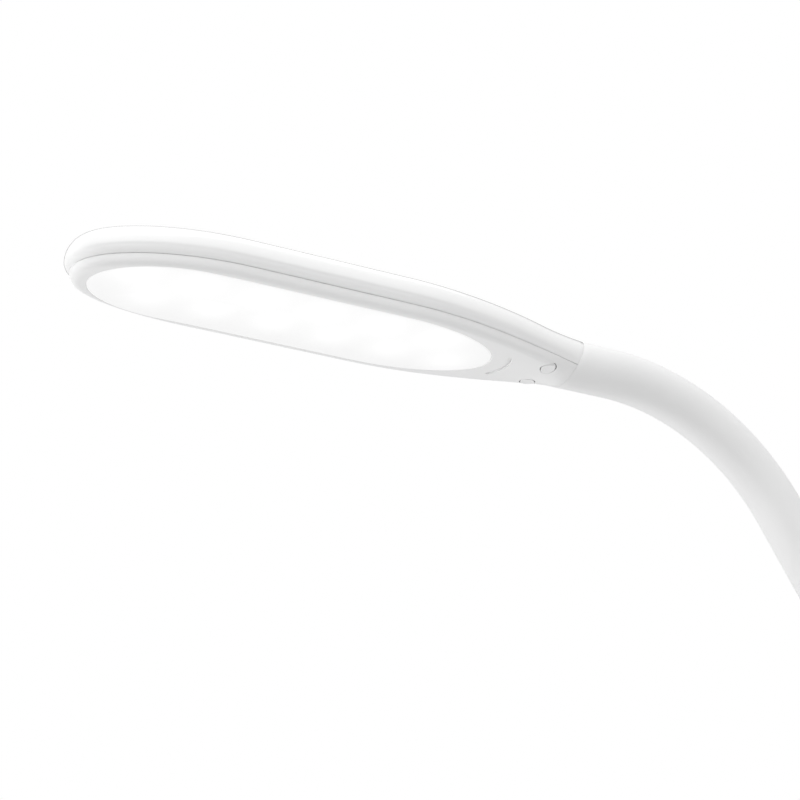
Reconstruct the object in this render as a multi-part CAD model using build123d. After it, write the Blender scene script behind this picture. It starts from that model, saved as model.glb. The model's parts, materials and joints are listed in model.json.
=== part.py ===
from build123d import *
import os
from math import cos, hypot, pi, radians, sin

# Clip-on reading lamp, in millimetres. The origin is the centre of the upper jaw pad's face, which rests
# on the board that the lamp is clipped to. +Z is up, the jaws open towards -X, and the light head reaches
# out towards -X, level, at the top of the flexible neck.

os.makedirs("parts", exist_ok=True)

# ---------------------------------------------------------------- driving dimensions: light head
HEAD_LENGTH = 190.0            # tip to the seam with the neck sleeve, measured on the neck's axis
HEAD_HALF_WIDTH = 25.8
NOSE_LENGTH = 53.0             # the rounded stretch at the tip
NOSE_FULLNESS = 2.17           # 2 would be an ellipse, more is blunter
WAIST_START = 113.0            # where the plan begins to narrow towards the neck
WAIST_END = 254.0              # where the narrowing curve would level out, inside the neck
SEAM_SLANT = 23.0              # the seam leans, so the cover reaches further back at the top
SEAM_REACH = 5.0               # how far past HEAD_LENGTH the shells are drawn before the slanted cut
SIDE_CENTRE_Z = 3.4            # height of the widest outline above the parting plane
UPPER_ROUND = 7.0              # rounding of the cover above its widest outline
LOWER_ROUND = 4.2              # and below it
COVER_TOP = 11.0
HEAD_WALL = 1.6
END_WALL = 5.0                 # the shells' end wall, which holds the gooseneck's ferrule
BEZEL_DEPTH = 3.8              # parting plane to the flat underside
BEZEL_FLOOR = 1.2
BEZEL_INSET = 1.9              # parting outline, inside the widest outline
BEZEL_CHAMFER = 0.8

WINDOW_HALF_WIDTH = 20.4       # the diffuser's window, an oval with elliptical ends
WINDOW_START = 7.7
WINDOW_FRONT_LENGTH = 34.0
WINDOW_BACK_LENGTH = 43.3
WINDOW_END = 157.3
DIFFUSER_LIP = 1.2
DIFFUSER_THICKNESS = 2.0
FIT_GAP = 0.1

LED_COLUMNS = 6
LED_PITCH = 22.3
LED_ROW_Y = 7.5                # the two rows are staggered by half a pitch
LED_FIRST_X = 19.3
LED_PACKAGE = (3.5, 2.8, 0.8)
LED_BOARD_THICKNESS = 1.6
LED_BOARD_Z = 1.4
LED_BOARD_INSET = 4.2          # board edge, inside the window's oval
REFLECTOR_THICKNESS = 0.4
BOARD_SCREW_Y = 12.6
BOARD_SCREW_INSET = 30.0       # from the window's ends
BOARD_BOSS_RADIUS = 2.6
BOARD_PILOT_RADIUS = 1.1

CONTROL_BOARD_X = 168.0
CONTROL_BOARD_SIZE = (24.0, 17.6)
CONTROL_BOARD_TOP = 0.4
CONTROL_BOARD_THICKNESS = 1.2
CONTROL_SCREW_X = 159.0
CONTROL_SCREW_Y = 5.6
CONTROL_BOSS_RADIUS = 2.2
CONTROL_PILOT_RADIUS = 0.9
SWITCH_SIZE = 4.0
SWITCH_HEIGHT = 0.9
LEAD_RADIUS = 0.6
LEAD_Y = 2.2

BUTTON_X = 177.5
BUTTON_Y = 6.6
BUTTON_RADIUS = 3.2
BUTTON_PROUD = 0.35
BUTTON_TRAVEL = 0.4
BUTTON_FLANGE = 0.5            # how far the retaining flange reaches under the floor
BUTTON_FLANGE_THICKNESS = 0.35
BUTTON_FLANGE_SHIFT = 1.2      # how far inwards the kept part of the flange is moved, clear of the head's side
BUTTON_NUB_RADIUS = 0.9
GROOVE_X = 164.2
GROOVE_RADIUS = 13.5
GROOVE_HALF_ANGLE = 34.0
GROOVE_WIDTH = 1.2
GROOVE_DEPTH = 0.6

FERRULE_START = HEAD_LENGTH - 9.5      # the head's ferrule on the gooseneck
FERRULE_END = HEAD_LENGTH - 2.4
FERRULE_TUBE_RADIUS = 5.2
FERRULE_FLANGE_X = HEAD_LENGTH - 5.5
FERRULE_FLANGE_THICKNESS = 1.4
FERRULE_FLANGE_RADIUS = 5.9

# ---------------------------------------------------------------- driving dimensions: flexible neck
NECK_RADIUS = 9.0              # silicone sleeve
NECK_BORE = 5.0
CORE_RADIUS = 4.8              # coiled steel gooseneck
CORE_BORE = 3.0
WIRE_RADIUS = 0.85
WIRE_SPACING = 2.2
CORE_TAIL = 7.0                # the coil below the sleeve's lower end
WIRE_TAIL = 8.0                # the wires beyond the coil
NECK_JOINTS = 8
JOINT_PITCH = 44.0
SEGMENT_GAP = 4.4              # room for two neighbouring segments to bend
NECK_LENGTH = NECK_JOINTS * JOINT_PITCH
NECK_LEAD = 17.0               # the stored shape, from the head down: level, a bend, a slope, a bend, upright
HEAD_BEND = 89.0
HEAD_BEND_TURN = radians(57)
NECK_SLOPE = 45.0
ROOT_BEND = 100.0
ROOT_BEND_TURN = pi / 2 - HEAD_BEND_TURN
NECK_UPRIGHT = NECK_LENGTH - NECK_LEAD - HEAD_BEND * HEAD_BEND_TURN - NECK_SLOPE - ROOT_BEND * ROOT_BEND_TURN

# ---------------------------------------------------------------- driving dimensions: clip
CLIP_HALF_WIDTH = 18.0
CLIP_WALL = 2.2
PAD_THICKNESS = 2.4
PAD_LENGTH = 32.0
BOARD_GAP = 20.0               # board thickness in the stored pose
HINGE_X = 34.0
HINGE_Z = -BOARD_GAP / 2
HINGE_PIN_RADIUS = 1.5
LUG_RADIUS = 8.0
EAR_OUTER_Y = 15.0
EAR_INNER_Y = 12.4
RING_Y = CLIP_HALF_WIDTH + 0.4         # the snap ring's middle
RING_BORE_RADIUS = 1.15
JAW_FRONT_X = -18.0
HANDLE_X = 42.0                # where the upper handle starts to rise
HANDLE_TIP_X = 74.0
HANDLE_TIP_Z = 24.5
LEVER_DEPTH = 8.0              # lower jaw, below its pad
CORNER_RADIUS = 5.0
PLATE_THICKNESS = 2.4
PLATE_LENGTH = 37.0
PLATE_CENTRE_X = 2.9
PLATE_SCREW_X = (-8.0, 6.0)
PLATE_SCREW_Y = 10.5
PLATE_SCREW_RADIUS = 1.15
PLATE_SCREW_HEAD = 2.3
PAD_GROOVE_DEPTH = 0.6
LUG_GAP = 0.4                  # between an ear of the lever and the lug beside it
NECK_X = 20.0
TURRET_RADIUS = 13.0
TURRET_TOP = 37.0
SLEEVE_SEAT = 2.0              # the sleeve stands this deep in the turret's top
FERRULE_RADIUS = 6.0
FERRULE_FLANGE = 1.2
TURRET_ROOF = 4.0
JACK_Z = 22.0
JACK_BOSS_RADIUS = 7.2
JACK_RADIUS = 4.6
JACK_FLANGE_RADIUS = 5.9
JACK_FLANGE = 1.2
JACK_LENGTH = 12.0
JACK_BORE_RADIUS = 2.85
JACK_BORE_DEPTH = 9.5
JACK_PIN_RADIUS = 1.0
JACK_PIN_HELD_RADIUS = 0.8
JACK_PIN_SUNK = 0.6            # the pin's tip, inside the socket's mouth
JACK_MOUTH_Y = TURRET_RADIUS + 2
SPRING_WIRE_RADIUS = 0.9
SPRING_RADIUS = 4.2
SPRING_HALF_WIDTH = 7.0
SPRING_TURNS = 5

NECK_ROOT_Z = TURRET_TOP - SLEEVE_SEAT
NECK_AXIS_IN_HEAD = 2.8        # height of the neck's axis above the head's parting plane
NECK_RUNS = (                  # length and turn of each stretch of the neck, from its root
    (NECK_UPRIGHT, 0.0),
    (ROOT_BEND * ROOT_BEND_TURN, ROOT_BEND_TURN),
    (NECK_SLOPE, 0.0),
    (HEAD_BEND * HEAD_BEND_TURN, HEAD_BEND_TURN),
    (NECK_LEAD + HEAD_LENGTH, 0.0),
)


def save(shape, name):
    shape.label = name
    export_step(shape, f"parts/{name}.step")


def side_prism(face, half_width, centre_y=0.0):
    """A solid with the given side view (drawn in X and Z) and twice half_width across Y."""
    return Pos(0, centre_y, 0) * extrude(Plane.XZ * face, amount=half_width, both=True)


def rod_y(radius, x, z, low_y, high_y):
    middle = Pos(x, (low_y + high_y) / 2, z)
    return middle * Rot(90, 0, 0) * Cylinder(radius, high_y - low_y)


def rod_x(radius, y, z, low_x, high_x):
    middle = Pos((low_x + high_x) / 2, y, z)
    return middle * Rot(0, 90, 0) * Cylinder(radius, high_x - low_x)


def rod_z(radius, x, y, low_z, high_z):
    return Pos(x, y, (low_z + high_z) / 2) * Cylinder(radius, high_z - low_z)


# ---------------------------------------------------------------- light head
def half_width(x):
    """Half the head's greatest width at a distance x behind the tip."""
    if x < NOSE_LENGTH:
        from_shoulder = 1 - x / NOSE_LENGTH
        return HEAD_HALF_WIDTH * (1 - from_shoulder ** 2) ** (1 / NOSE_FULLNESS)
    narrowing = (HEAD_HALF_WIDTH - NECK_RADIUS) / waist_fraction(HEAD_LENGTH)
    return HEAD_HALF_WIDTH - narrowing * waist_fraction(min(x, HEAD_LENGTH))


def waist_fraction(x):
    along = max(0.0, (x - WAIST_START) / (WAIST_END - WAIST_START))
    return (1 - cos(pi * along)) / 2


def side_points(inset):
    """Points down one side of the plan outline, moved inwards square to it, from beside the tip."""
    nose_angles = range(15, 90, 20)
    body_steps = 10
    body_length = HEAD_LENGTH - NOSE_LENGTH
    stations = [NOSE_LENGTH * (1 - cos(radians(angle))) for angle in nose_angles]
    stations += [NOSE_LENGTH + body_length * i / body_steps for i in range(body_steps + 1)]
    points = []
    step = 0.01
    for x in stations:
        rise = half_width(x) - half_width(x - step)
        length = hypot(rise, step)
        points.append((x + inset * rise / length, half_width(x) - inset * step / length))
    return points + [(HEAD_LENGTH + SEAM_REACH, NECK_RADIUS - inset)]


def head_face(inset, end_x=HEAD_LENGTH + SEAM_REACH):
    """The head's plan, inset from its widest outline and cut off square at end_x."""
    side = side_points(inset)
    near = [(x, -y) for x, y in reversed(side)]
    outline = Spline(*near, (inset, 0), *side)
    face = make_face([outline, Line(side[-1], near[0])])
    if end_x >= HEAD_LENGTH + SEAM_REACH:
        return face
    return face - Pos(end_x + HEAD_LENGTH / 2, 0) * Rectangle(HEAD_LENGTH, 4 * HEAD_HALF_WIDTH)


def behind_seam():
    """Everything on the neck's side of the slanted seam."""
    reach = HEAD_LENGTH
    seam = Pos(HEAD_LENGTH, 0, NECK_AXIS_IN_HEAD) * Rot(0, SEAM_SLANT, 0)
    return seam * Pos(reach / 2, 0, 0) * Box(reach, reach, reach)


def oval_face(inset):
    """The diffuser window's oval, inset from its edge."""
    half = WINDOW_HALF_WIDTH - inset
    front = WINDOW_START + WINDOW_FRONT_LENGTH
    back = WINDOW_END - WINDOW_BACK_LENGTH
    front_length = WINDOW_FRONT_LENGTH - inset
    back_length = WINDOW_BACK_LENGTH - inset
    front_end = EllipticalCenterArc((front, 0), front_length, half, start_angle=90, arc_size=180)
    back_end = EllipticalCenterArc((back, 0), back_length, half, start_angle=-90, arc_size=180)
    sides = [Line((front, half), (back, half)), Line((front, -half), (back, -half))]
    return make_face([front_end, back_end, *sides])


def head_cover():
    """Top shell: a rounded edge all the way round, open at the parting plane."""
    low = SIDE_CENTRE_Z - LOWER_ROUND
    outer = Pos(0, 0, low) * extrude(head_face(0), amount=COVER_TOP - low)
    rims = outer.faces().filter_by(Axis.Z).sort_by(Axis.Z)
    outer = fillet(rims[-1].edges().filter_by(GeomType.BSPLINE), UPPER_ROUND)
    lower_rim = outer.faces().filter_by(Axis.Z).sort_by(Axis.Z)[0]
    outer = fillet(lower_rim.edges().filter_by(GeomType.BSPLINE), LOWER_ROUND)
    roof = COVER_TOP - HEAD_WALL
    wall_inset = HEAD_WALL + BEZEL_INSET
    cavity = extrude(head_face(wall_inset, HEAD_LENGTH - END_WALL), amount=roof)
    cavity_rim = cavity.faces().sort_by(Axis.Z)[-1].edges().filter_by(GeomType.BSPLINE)
    cavity = fillet(cavity_rim, UPPER_ROUND - wall_inset)
    below = Pos(HEAD_LENGTH / 2, 0, -HEAD_LENGTH / 2) * Box(2 * HEAD_LENGTH, HEAD_LENGTH, HEAD_LENGTH)
    cover = outer - below - cavity
    boss_top = roof + HEAD_WALL / 4
    pilot_top = roof - 0.6
    for x, y in led_board_screw_points():
        cover += rod_z(BOARD_BOSS_RADIUS, x, y, LED_BOARD_Z + LED_BOARD_THICKNESS, boss_top)
        cover -= rod_z(BOARD_PILOT_RADIUS, x, y, 0, pilot_top)
    for x, y in control_screw_points():
        cover += rod_z(CONTROL_BOSS_RADIUS, x, y, CONTROL_BOARD_TOP, boss_top)
        cover -= rod_z(CONTROL_PILOT_RADIUS, x, y, 0, pilot_top)
    return cover - ferrule_pocket() - behind_seam()


def ferrule_pocket():
    """The room that both shells leave for the gooseneck's ferrule and its flange."""
    end = HEAD_LENGTH + SEAM_REACH
    bore = rod_x(FERRULE_TUBE_RADIUS + FIT_GAP, 0, NECK_AXIS_IN_HEAD, FERRULE_START - 1, end)
    slot_end = FERRULE_FLANGE_X + FERRULE_FLANGE_THICKNESS + FIT_GAP
    slot = rod_x(FERRULE_FLANGE_RADIUS + FIT_GAP, 0, NECK_AXIS_IN_HEAD, FERRULE_FLANGE_X - FIT_GAP, slot_end)
    return bore + slot


def head_bezel():
    """Lower shell: a drafted band and a flat floor with the window, the groove and the button holes."""
    band = extrude(head_face(BEZEL_INSET), amount=-BEZEL_DEPTH)
    rim = band.faces().sort_by(Axis.Z)[0].edges().filter_by(GeomType.BSPLINE)
    band = chamfer(rim, BEZEL_DEPTH * 0.8, BEZEL_CHAMFER)
    floor_top = BEZEL_FLOOR - BEZEL_DEPTH
    inner = head_face(BEZEL_INSET + HEAD_WALL, HEAD_LENGTH - END_WALL)
    band -= Pos(0, 0, floor_top) * extrude(inner, amount=BEZEL_DEPTH)
    band -= Pos(0, 0, -2 * BEZEL_DEPTH) * extrude(oval_face(0), amount=3 * BEZEL_DEPTH)
    for side in (-1, 1):
        band -= rod_z(BUTTON_RADIUS + FIT_GAP, BUTTON_X, side * BUTTON_Y, -2 * BEZEL_DEPTH, 0)
    return band - arc_groove() - ferrule_pocket() - behind_seam()


def arc_groove():
    """A short arc cut in the underside between the window and the buttons, bowed towards the neck."""
    ring = Circle(GROOVE_RADIUS + GROOVE_WIDTH / 2) - Circle(GROOVE_RADIUS - GROOVE_WIDTH / 2)
    reach = 2 * GROOVE_RADIUS
    spread = reach * sin(radians(GROOVE_HALF_ANGLE))
    depth = reach * cos(radians(GROOVE_HALF_ANGLE))
    wedge = make_face(Polyline((0, 0), (depth, spread), (reach, 0), (depth, -spread), close=True))
    arc = Pos(GROOVE_X - GROOVE_RADIUS, 0, -BEZEL_DEPTH - GROOVE_DEPTH) * (ring & wedge)
    return extrude(arc, amount=2 * GROOVE_DEPTH)


def diffuser():
    """Frosted panel, flush in the window, with a lip that is bonded to the bezel's floor."""
    floor_top = BEZEL_FLOOR - BEZEL_DEPTH
    panel = Pos(0, 0, -BEZEL_DEPTH) * extrude(oval_face(FIT_GAP), amount=DIFFUSER_THICKNESS)
    lip_outline = oval_face(-DIFFUSER_LIP) & head_face(BEZEL_INSET + HEAD_WALL + FIT_GAP)
    lip = extrude(lip_outline, amount=DIFFUSER_THICKNESS - BEZEL_FLOOR)
    return panel + Pos(0, 0, floor_top) * lip


def led_points():
    points = []
    for row, y in enumerate((-LED_ROW_Y, LED_ROW_Y)):
        first = LED_FIRST_X + row * LED_PITCH / 2
        points += [(first + column * LED_PITCH, y) for column in range(LED_COLUMNS)]
    return points


def led_board_screw_points():
    ends = (WINDOW_START + BOARD_SCREW_INSET, WINDOW_END - BOARD_SCREW_INSET)
    return [(x, side * BOARD_SCREW_Y) for x in ends for side in (-1, 1)]


def led_board():
    board = Pos(0, 0, LED_BOARD_Z) * extrude(oval_face(LED_BOARD_INSET), amount=LED_BOARD_THICKNESS)
    for x, y in led_board_screw_points():
        board -= rod_z(BOARD_PILOT_RADIUS + FIT_GAP, x, y, 0, COVER_TOP)
    return board


def reflector_sheet():
    """White film on the board's underside, with a window for each light source and screw head."""
    low = LED_BOARD_Z - REFLECTOR_THICKNESS
    sheet = Pos(0, 0, low) * extrude(oval_face(LED_BOARD_INSET), amount=REFLECTOR_THICKNESS)
    window = max(LED_PACKAGE) + 0.5
    for x, y in led_points():
        sheet -= Pos(x, y, LED_BOARD_Z) * Box(window, window, 2)
    for x, y in led_board_screw_points():
        sheet -= rod_z(BOARD_BOSS_RADIUS, x, y, 0, 2 * LED_BOARD_Z)
    return sheet


def led_packages():
    """White packages under the board, each with a shallow well for its emitter."""
    length, width, height = LED_PACKAGE
    rim = 0.35
    well = Box(length - 2 * rim, width - 2 * rim, height / 2)
    package = Box(length, width, height) - Pos(0, 0, -height / 2) * well
    return Compound([Pos(x, y, LED_BOARD_Z - height / 2) * package for x, y in led_points()])


def pan_screw(radius, length, head_radius, head_height):
    """A small pan-head screw, head down, with the underside of its head at the origin."""
    head = fillet(Cylinder(head_radius, head_height).edges().sort_by(Axis.Z)[:1], head_height * 0.4)
    head = Pos(0, 0, -head_height / 2) * head
    cross = Box(head_radius * 1.1, 0.5, head_height) + Box(0.5, head_radius * 1.1, head_height)
    return head + rod_z(radius, 0, 0, 0, length) - Pos(0, 0, -head_height) * cross


def board_screws():
    screw = pan_screw(radius=1.05, length=6.0, head_radius=2.2, head_height=1.1)
    return Compound([Pos(x, y, LED_BOARD_Z) * screw for x, y in led_board_screw_points()])


def control_screw_points():
    return [(CONTROL_SCREW_X, side * CONTROL_SCREW_Y) for side in (-1, 1)]


def control_board():
    """Small board above the buttons, following the head's narrowing sides."""
    margin = 0.4
    low = CONTROL_BOARD_TOP - CONTROL_BOARD_THICKNESS
    blank = Pos(CONTROL_BOARD_X, 0) * Rectangle(*CONTROL_BOARD_SIZE)
    room = head_face(BEZEL_INSET + HEAD_WALL + margin) & blank
    board = Pos(0, 0, low) * extrude(room, amount=CONTROL_BOARD_THICKNESS)
    for x, y in control_screw_points():
        board -= rod_z(CONTROL_PILOT_RADIUS + FIT_GAP / 2, x, y, low - 1, CONTROL_BOARD_TOP + 1)
    return board


def control_screws():
    screw = pan_screw(radius=0.85, length=4.5, head_radius=1.7, head_height=0.8)
    low = CONTROL_BOARD_TOP - CONTROL_BOARD_THICKNESS
    return Compound([Pos(x, y, low) * screw for x, y in control_screw_points()])


def tact_switches():
    """Two square switches under the board, each open where a button's nub comes up to its dome."""
    top = CONTROL_BOARD_TOP - CONTROL_BOARD_THICKNESS
    dome_z = top - SWITCH_HEIGHT / 3
    switch = Pos(0, 0, top - SWITCH_HEIGHT / 2) * Box(SWITCH_SIZE, SWITCH_SIZE, SWITCH_HEIGHT)
    switch -= rod_z(BUTTON_NUB_RADIUS + 2 * FIT_GAP, 0, 0, top - 2 * SWITCH_HEIGHT, dome_z)
    return Compound([Pos(BUTTON_X, side * BUTTON_Y, 0) * switch for side in (-1, 1)])


def button(side):
    """A round cap with a retaining flange inside the floor and a nub that presses the switch."""
    floor_top = BEZEL_FLOOR - BEZEL_DEPTH
    flange_low = floor_top + 0.02
    flange_top = flange_low + BUTTON_FLANGE_THICKNESS
    nub_top = CONTROL_BOARD_TOP - CONTROL_BOARD_THICKNESS - SWITCH_HEIGHT / 3 - BUTTON_TRAVEL - 0.05
    cap = rod_z(BUTTON_RADIUS, 0, 0, -BEZEL_DEPTH - BUTTON_PROUD, flange_low + 0.1)
    cap = fillet(cap.edges().sort_by(Axis.Z)[:1], 0.3)
    flange = rod_z(BUTTON_RADIUS + BUTTON_FLANGE, 0, 0, flange_low, flange_top)
    kept_y = 2 * BUTTON_RADIUS - BUTTON_FLANGE_SHIFT
    flange &= Pos(0, -side * BUTTON_FLANGE_SHIFT, 0) * Box(4 * BUTTON_RADIUS, kept_y, 4 * BEZEL_DEPTH)
    nub = rod_z(BUTTON_NUB_RADIUS, 0, 0, flange_top - 0.1, nub_top)
    return Pos(BUTTON_X, side * BUTTON_Y, 0) * (cap + flange + nub)


def head_ferrule():
    """Crimped steel ferrule on the gooseneck's end, held by the head's end wall."""
    axis_z = NECK_AXIS_IN_HEAD
    tube = rod_x(FERRULE_TUBE_RADIUS, 0, axis_z, FERRULE_START, FERRULE_END)
    flange_end = FERRULE_FLANGE_X + FERRULE_FLANGE_THICKNESS
    flange = rod_x(FERRULE_FLANGE_RADIUS, 0, axis_z, FERRULE_FLANGE_X, flange_end)
    return tube + flange - rod_x(CORE_RADIUS, 0, axis_z, FERRULE_START - 1, HEAD_LENGTH)


def board_leads():
    """Two leads from the control board up to the back of the LED board."""
    low = CONTROL_BOARD_TOP + LEAD_RADIUS + 0.05
    high = LED_BOARD_Z + LED_BOARD_THICKNESS + LEAD_RADIUS + 0.05
    board_end = WINDOW_END - LED_BOARD_INSET
    leads = []
    for side in (-1, 1):
        y = side * LEAD_Y
        path = FilletPolyline(
            (CONTROL_BOARD_X, y, low), (board_end + 9, y, low),
            (board_end + 1, y, high), (board_end - 10, y, high), radius=3
        )
        leads.append(sweep(Plane(path @ 0, z_dir=path % 0) * Circle(LEAD_RADIUS), path))
    return Compound(leads)


def make_head():
    seam = neck_point(NECK_LENGTH)
    head_at = Pos(seam.X - HEAD_LENGTH, 0, seam.Z - NECK_AXIS_IN_HEAD)
    for name, shape in (
        ("head_cover", head_cover()),
        ("head_bezel", head_bezel()),
        ("diffuser", diffuser()),
        ("led_board", led_board()),
        ("reflector_sheet", reflector_sheet()),
        ("led_packages", led_packages()),
        ("board_screws", board_screws()),
        ("control_board", control_board()),
        ("control_screws", control_screws()),
        ("tact_switches", tact_switches()),
        ("power_button", button(-1)),
        ("dimmer_button", button(1)),
        ("head_ferrule", head_ferrule()),
        ("board_leads", board_leads()),
    ):
        save(head_at * shape, name)


# ---------------------------------------------------------------- flexible neck
def neck_point(s):
    """Where the neck's axis is at a length s from its root, following its stretches one by one."""
    x, z, lean = NECK_X, NECK_ROOT_Z, 0.0
    for length, turn in NECK_RUNS:
        run = min(s, length)
        if turn:
            radius = length / turn
            next_lean = lean + run / radius
            x -= radius * (cos(lean) - cos(next_lean))
            z += radius * (sin(next_lean) - sin(lean))
            lean = next_lean
        else:
            x -= run * sin(lean)
            z += run * cos(lean)
        s -= run
    return Vector(x, 0, z)


def neck_path(start, end):
    """The neck's axis between two lengths, as tangent lines and arcs."""
    edges = []
    run_end = 0.0
    for length, turn in NECK_RUNS:
        run_start, run_end = run_end, run_end + length
        a = max(start, run_start) if run_start else start
        b = min(end, run_end)
        if b <= a:
            continue
        if turn:
            edges.append(ThreePointArc(neck_point(a), neck_point((a + b) / 2), neck_point(b)))
        else:
            edges.append(Line(neck_point(a), neck_point(b)))
    return Wire(edges)


def along_neck(face, start, end):
    path = neck_path(start, end)
    at_start = Plane(path @ 0, x_dir=(0, 1, 0), z_dir=path % 0)
    return sweep(at_start * face, path)


def tube_along_neck(outer, inner, start, end):
    return along_neck(Circle(outer), start, end) - along_neck(Circle(inner), start, end)


def wires_along_neck(start, end):
    """Two insulated wires side by side, fore and aft of the neck's axis."""
    pair = []
    for side in (-1, 1):
        pair.append(along_neck(Pos(0, side * WIRE_SPACING / 2) * Circle(WIRE_RADIUS), start, end))
    return Compound(pair)


def last_sleeve(start):
    """The sleeve's end length, cut to the slant of the head's seam."""
    overrun = NECK_LENGTH + SEAM_REACH
    tube = tube_along_neck(NECK_RADIUS, NECK_BORE, start, overrun)
    head_side = Pos(-HEAD_LENGTH / 2, 0, 0) * Box(HEAD_LENGTH, HEAD_LENGTH, HEAD_LENGTH)
    return tube - Pos(neck_point(NECK_LENGTH)) * Rot(0, SEAM_SLANT, 0) * head_side


def make_neck():
    core_start = -CORE_TAIL
    core_end = NECK_LENGTH + HEAD_LENGTH - FERRULE_START
    for i in range(NECK_JOINTS + 1):
        first = i == 0
        last = i == NECK_JOINTS
        start = 0.0 if first else (i - 0.5) * JOINT_PITCH + SEGMENT_GAP / 2
        end = NECK_LENGTH if last else (i + 0.5) * JOINT_PITCH - SEGMENT_GAP / 2
        if last:
            sleeve = last_sleeve(start)
        else:
            sleeve = tube_along_neck(NECK_RADIUS, NECK_BORE, FERRULE_FLANGE if first else start, end)
        inner_start = core_start if first else start
        inner_end = core_end if last else end
        core = tube_along_neck(CORE_RADIUS, CORE_BORE, inner_start, inner_end)
        wire_start = inner_start - WIRE_TAIL if first else start
        wire_end = inner_end + WIRE_TAIL / 2 if last else end
        save(sleeve, f"neck_sleeve_{i}")
        save(core, f"neck_core_{i}")
        save(wires_along_neck(wire_start, wire_end), f"neck_wires_{i}")


# ---------------------------------------------------------------- clip
def housing_profile():
    """Side view of the upper jaw: a low round nose, a long back and a raised handle."""
    low = PAD_THICKNESS
    back = HANDLE_TIP_X
    top = HANDLE_TIP_Z
    return make_face([
        Line((JAW_FRONT_X, low), (JAW_FRONT_X, 6)),
        ThreePointArc((JAW_FRONT_X, 6), (-15.6, 10.6), (-10, 13)),
        Line((-10, 13), (HANDLE_X, 16)),
        TangentArc((HANDLE_X, 16), (back, top), tangent=(52, 3)),
        ThreePointArc((back, top), (back + 3.2, top - 2.8), (back + 0.8, top - 6.3)),
        Line((back + 0.8, top - 6.3), (46, 5)),
        Line((46, 5), (46, low)),
        Line((46, low), (JAW_FRONT_X, low)),
    ])


def housing_cavity():
    """Side view of the room inside the upper jaw, which is open underneath."""
    front = JAW_FRONT_X + CLIP_WALL
    return make_face(Polyline(
        (front, -1), (front, 6.5), (-9.5, 10.8), (HANDLE_X, 13.8), (56, 15.2), (68, 18.8),
        (HANDLE_TIP_X - 2, 20), (HANDLE_TIP_X - 2, 14), (46, -1), close=True
    ))


def lug_profile(radius, top_z, half_top):
    """Side view of a hinge lug: round about the pin, with a web up or down to the jaw."""
    ear = Pos(HINGE_X, HINGE_Z) * Circle(radius)
    web = make_face(Polyline(
        (HINGE_X - radius, HINGE_Z), (HINGE_X + radius, HINGE_Z),
        (HINGE_X + half_top, top_z), (HINGE_X - half_top, top_z), close=True
    ))
    return ear + web


def turret_walls():
    """The round post that carries the neck, with a boss on its side for the power socket."""
    walls = rod_z(TURRET_RADIUS, NECK_X, 0, 10, TURRET_TOP)
    walls = fillet(walls.edges().sort_by(Axis.Z)[-1:], 2.6)
    return walls + rod_y(JACK_BOSS_RADIUS, NECK_X, JACK_Z, 0, JACK_MOUTH_Y)


def turret_bores():
    """The hollow of the post, the sleeve's seat, the ferrule's hole and the socket's hole."""
    above = TURRET_TOP + 1
    hollow = rod_z(TURRET_RADIUS - CLIP_WALL, NECK_X, 0, 6, NECK_ROOT_Z - TURRET_ROOF)
    seat = rod_z(NECK_RADIUS + 0.15, NECK_X, 0, NECK_ROOT_Z, above)
    ferrule = rod_z(FERRULE_RADIUS + FIT_GAP, NECK_X, 0, 6, above)
    beyond = 2 * JACK_MOUTH_Y
    socket = rod_y(JACK_RADIUS + FIT_GAP, NECK_X, JACK_Z, 0, beyond)
    flange = rod_y(JACK_FLANGE_RADIUS + FIT_GAP, NECK_X, JACK_Z, JACK_MOUTH_Y - JACK_FLANGE, beyond)
    return hollow + seat + ferrule + socket + flange


def clip_housing():
    """Upper jaw, handle and neck turret in one moulding, open underneath."""
    outer = side_prism(housing_profile(), CLIP_HALF_WIDTH)
    outer = fillet(outer.edges().filter_by(Axis.Z), CORNER_RADIUS)
    body = outer - side_prism(housing_cavity(), CLIP_HALF_WIDTH - CLIP_WALL)
    lug_inner_y = EAR_OUTER_Y + LUG_GAP
    for side in (-1, 1):
        half = (CLIP_HALF_WIDTH - lug_inner_y) / 2
        centre_y = side * (lug_inner_y + CLIP_HALF_WIDTH) / 2
        body += side_prism(lug_profile(LUG_RADIUS, 6, 11), half, centre_y)
    plate_top = PAD_THICKNESS + PLATE_THICKNESS
    for x, y in plate_screw_points():
        body += rod_z(3.0, x, y, plate_top, 11.6)
        body -= rod_z(PLATE_SCREW_RADIUS, x, y, PAD_THICKNESS, 10.6)
    body = body + turret_walls() - turret_bores()
    return body - rod_y(HINGE_PIN_RADIUS, HINGE_X, HINGE_Z, -2 * CLIP_HALF_WIDTH, 2 * CLIP_HALF_WIDTH)


def plate_screw_points():
    return [(x, side * PLATE_SCREW_Y) for x in PLATE_SCREW_X for side in (-1, 1)]


def base_plate():
    """Closes the upper jaw from below and carries its pad."""
    low = PAD_THICKNESS
    width = 2 * (CLIP_HALF_WIDTH - CLIP_WALL - FIT_GAP)
    plate = Pos(PLATE_CENTRE_X, 0, low + PLATE_THICKNESS / 2) * Box(PLATE_LENGTH, width, PLATE_THICKNESS)
    plate = fillet(plate.edges().filter_by(Axis.Z), CORNER_RADIUS / 2)
    for x, y in plate_screw_points():
        plate -= rod_z(PLATE_SCREW_RADIUS + 0.15, x, y, 0, low + 2 * PLATE_THICKNESS)
        plate -= rod_z(PLATE_SCREW_HEAD + 0.2, x, y, 0, low + PLATE_THICKNESS / 2)
    return plate


def plate_screws():
    screw = pan_screw(radius=PLATE_SCREW_RADIUS, length=5.5, head_radius=PLATE_SCREW_HEAD, head_height=1.1)
    seat_z = PAD_THICKNESS + PLATE_THICKNESS / 2
    return Compound([Pos(x, y, seat_z) * screw for x, y in plate_screw_points()])


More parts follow.
